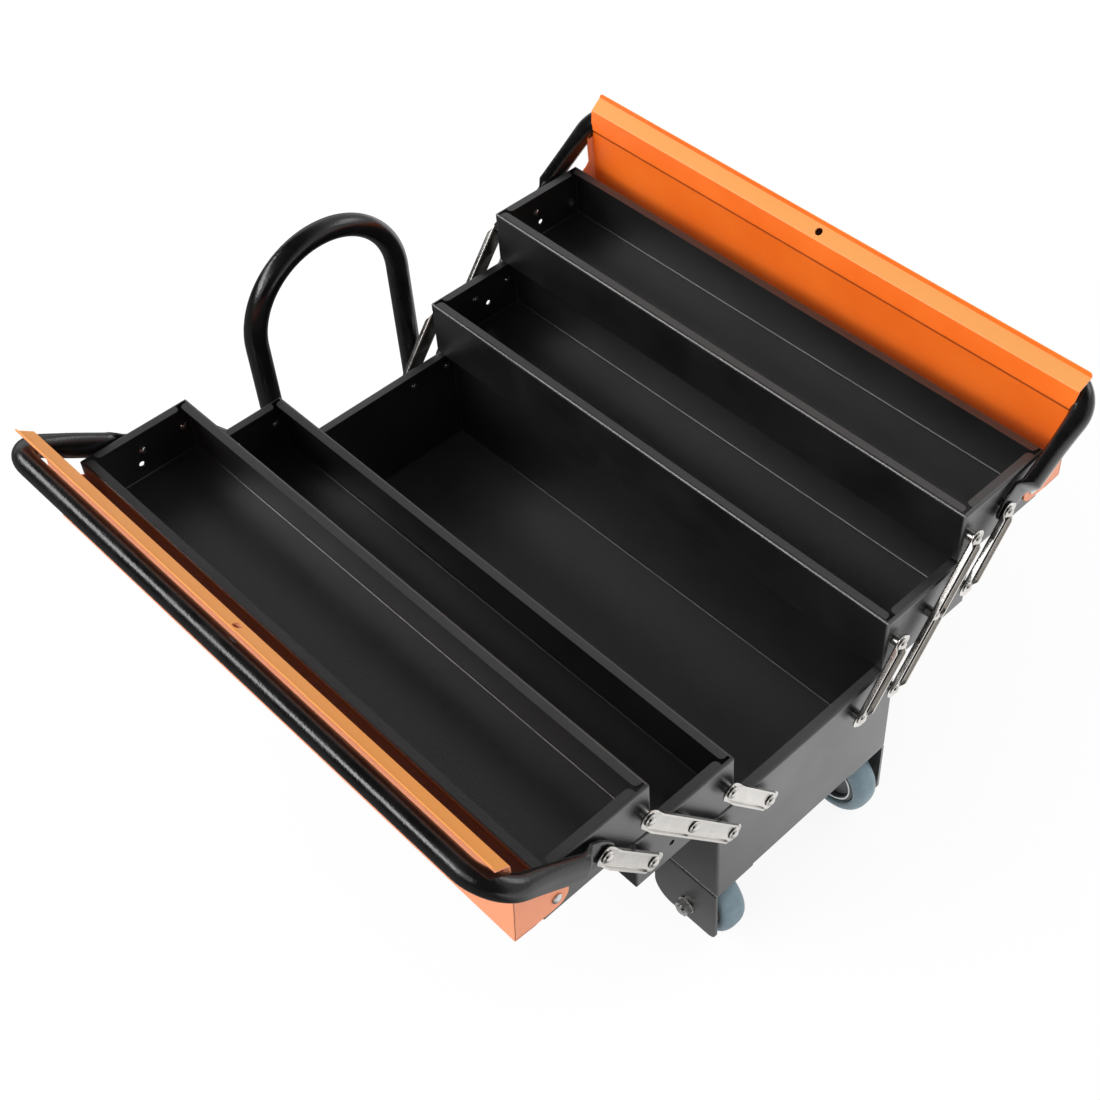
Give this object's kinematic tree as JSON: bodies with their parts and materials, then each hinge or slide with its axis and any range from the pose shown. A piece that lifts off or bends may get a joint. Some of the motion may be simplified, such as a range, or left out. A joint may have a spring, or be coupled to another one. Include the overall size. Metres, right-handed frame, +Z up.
{
  "type": "cantilever tool box",
  "caption": "Rolling cantilever tool box shown open: steel base box, stacked trays on link arms, hinged lids with swinging grip tubes, upright pull handle, wheels and feet.",
  "frame": {"origin": "centre of the bounding box in plan, at the floor under the wheels and foot pads", "axes": "+X along the box towards the wheeled end, +Y towards the back side, +Z up"},
  "size_m": [0.597, 0.6366, 0.3705],
  "materials": {
    "box_powder": "black powder coat, fine orange-peel, semi-gloss",
    "bracket_powder": "black powder coat, semi-gloss",
    "lid_orange": "orange powder coat, fine grain",
    "handle_gloss": "glossy black enamel",
    "link_chrome": "bright plated",
    "fastener_zinc": "zinc plated",
    "tyre": "blue-grey rubber",
    "hub": "dark moulded plastic",
    "pad": "black rubber"
  },
  "bodies": {
    "base": {"base_box": "box_powder", "base_rivets": "link_chrome", "base_sleeves": "fastener_zinc", "front_wheel_bracket": "bracket_powder", "back_wheel_bracket": "bracket_powder", "axle_bolts": "fastener_zinc", "axle_nuts": "fastener_zinc", "front_foot_bracket": "bracket_powder", "back_foot_bracket": "bracket_powder", "foot_pads": "pad", "pull_brackets": "bracket_powder", "pull_bolts": "fastener_zinc"},
    "front_wheel": {"front_tyre": "tyre", "front_hub": "hub"},
    "back_wheel": {"back_tyre": "tyre", "back_hub": "hub"},
    "pull_handle": {"pull_handle": "handle_gloss"},
    "back_long_links": {"back_long_link_left": "link_chrome", "back_long_link_right": "link_chrome"},
    "back_inner_links": {"back_inner_link_left": "link_chrome", "back_inner_link_right": "link_chrome"},
    "back_middle_tray": {"back_middle_tray": "box_powder", "back_middle_rivets": "link_chrome", "back_middle_sleeves": "fastener_zinc"},
    "back_outer_links": {"back_outer_link_left": "link_chrome", "back_outer_link_right": "link_chrome"},
    "back_top_tray": {"back_top_tray": "box_powder", "back_top_rivets": "link_chrome", "back_top_sleeves": "fastener_zinc", "back_lid_screws": "fastener_zinc"},
    "back_lid": {"back_lid": "lid_orange"},
    "back_grip": {"back_grip": "handle_gloss"},
    "front_long_links": {"front_long_link_left": "link_chrome", "front_long_link_right": "link_chrome"},
    "front_inner_links": {"front_inner_link_left": "link_chrome", "front_inner_link_right": "link_chrome"},
    "front_middle_tray": {"front_middle_tray": "box_powder", "front_middle_rivets": "link_chrome", "front_middle_sleeves": "fastener_zinc"},
    "front_outer_links": {"front_outer_link_left": "link_chrome", "front_outer_link_right": "link_chrome"},
    "front_top_tray": {"front_top_tray": "box_powder", "front_top_rivets": "link_chrome", "front_top_sleeves": "fastener_zinc", "front_lid_screws": "fastener_zinc"},
    "front_lid": {"front_lid": "lid_orange"},
    "front_grip": {"front_grip": "handle_gloss"}
  },
  "joints": [
    {"name": "back_fold", "type": "hinge", "parent": "base", "child": "back_long_links", "pos_m": [0, 0.0915, 0.1745], "axis": [1, 0, 0], "range_deg": [0, 74.8]},
    {"name": "back_inner_swing", "type": "hinge", "parent": "base", "child": "back_inner_links", "pos_m": [0, 0.052, 0.1745], "axis": [1, 0, 0], "range_deg": [0, 74.8]},
    {"name": "back_middle_level", "type": "hinge", "parent": "back_long_links", "child": "back_middle_tray", "pos_m": [0, 0.1328, 0.22852], "axis": [1, 0, 0], "range_deg": [-74.8, 0]},
    {"name": "back_top_level", "type": "hinge", "parent": "back_long_links", "child": "back_top_tray", "pos_m": [0, 0.1741, 0.28254], "axis": [1, 0, 0], "range_deg": [-74.8, 0]},
    {"name": "back_outer_swing", "type": "hinge", "parent": "back_middle_tray", "child": "back_outer_links", "pos_m": [0, 0.1723, 0.22852], "axis": [1, 0, 0], "range_deg": [0, 74.8]},
    {"name": "back_grip_swing", "type": "hinge", "parent": "back_top_tray", "child": "back_grip", "pos_m": [0, 0.2136, 0.28254], "axis": [1, 0, 0], "range_deg": [0, 76.11]},
    {"name": "back_lid_hinge", "type": "hinge", "parent": "back_top_tray", "child": "back_lid", "pos_m": [0, 0.25421, 0.27294], "axis": [1, 0, 0], "range_deg": [0, 87]},
    {"name": "front_fold", "type": "hinge", "parent": "base", "child": "front_long_links", "pos_m": [0, -0.0915, 0.1745], "axis": [-1, 0, 0], "range_deg": [0, 74.8]},
    {"name": "front_inner_swing", "type": "hinge", "parent": "base", "child": "front_inner_links", "pos_m": [0, -0.052, 0.1745], "axis": [-1, 0, 0], "range_deg": [0, 74.8]},
    {"name": "front_middle_level", "type": "hinge", "parent": "front_long_links", "child": "front_middle_tray", "pos_m": [0, -0.1328, 0.22852], "axis": [-1, 0, 0], "range_deg": [-74.8, 0]},
    {"name": "front_top_level", "type": "hinge", "parent": "front_long_links", "child": "front_top_tray", "pos_m": [0, -0.1741, 0.28254], "axis": [-1, 0, 0], "range_deg": [-74.8, 0]},
    {"name": "front_outer_swing", "type": "hinge", "parent": "front_middle_tray", "child": "front_outer_links", "pos_m": [0, -0.1723, 0.22852], "axis": [-1, 0, 0], "range_deg": [0, 74.8]},
    {"name": "front_grip_swing", "type": "hinge", "parent": "front_top_tray", "child": "front_grip", "pos_m": [0, -0.2136, 0.28254], "axis": [-1, 0, 0], "range_deg": [-2, 74.11]},
    {"name": "front_lid_hinge", "type": "hinge", "parent": "front_top_tray", "child": "front_lid", "pos_m": [0, -0.25421, 0.27294], "axis": [-1, 0, 0], "range_deg": [-2.3, 84.7]},
    {"name": "pull_handle_fold", "type": "hinge", "parent": "base", "child": "pull_handle", "pos_m": [-0.285, 0, 0.1045], "axis": [0, -1, 0], "range_deg": [0, 90]},
    {"name": "front_wheel_spin", "type": "hinge", "parent": "base", "child": "front_wheel", "pos_m": [0.245, -0.08, 0.0375], "axis": [0, 1, 0], "continuous": true},
    {"name": "back_wheel_spin", "type": "hinge", "parent": "base", "child": "back_wheel", "pos_m": [0.245, 0.08, 0.0375], "axis": [0, 1, 0], "continuous": true}
  ],
  "couplings": [
    {"joint": "back_inner_swing", "follows": "back_fold", "ratio": 1},
    {"joint": "back_middle_level", "follows": "back_fold", "ratio": -1},
    {"joint": "back_top_level", "follows": "back_fold", "ratio": -1},
    {"joint": "back_outer_swing", "follows": "back_fold", "ratio": 1},
    {"joint": "back_lid_hinge", "follows": "back_grip_swing", "ratio": 1.1426},
    {"joint": "front_inner_swing", "follows": "front_fold", "ratio": 1},
    {"joint": "front_middle_level", "follows": "front_fold", "ratio": -1},
    {"joint": "front_top_level", "follows": "front_fold", "ratio": -1},
    {"joint": "front_outer_swing", "follows": "front_fold", "ratio": 1},
    {"joint": "front_lid_hinge", "follows": "front_grip_swing", "ratio": 1.1426}
  ]
}
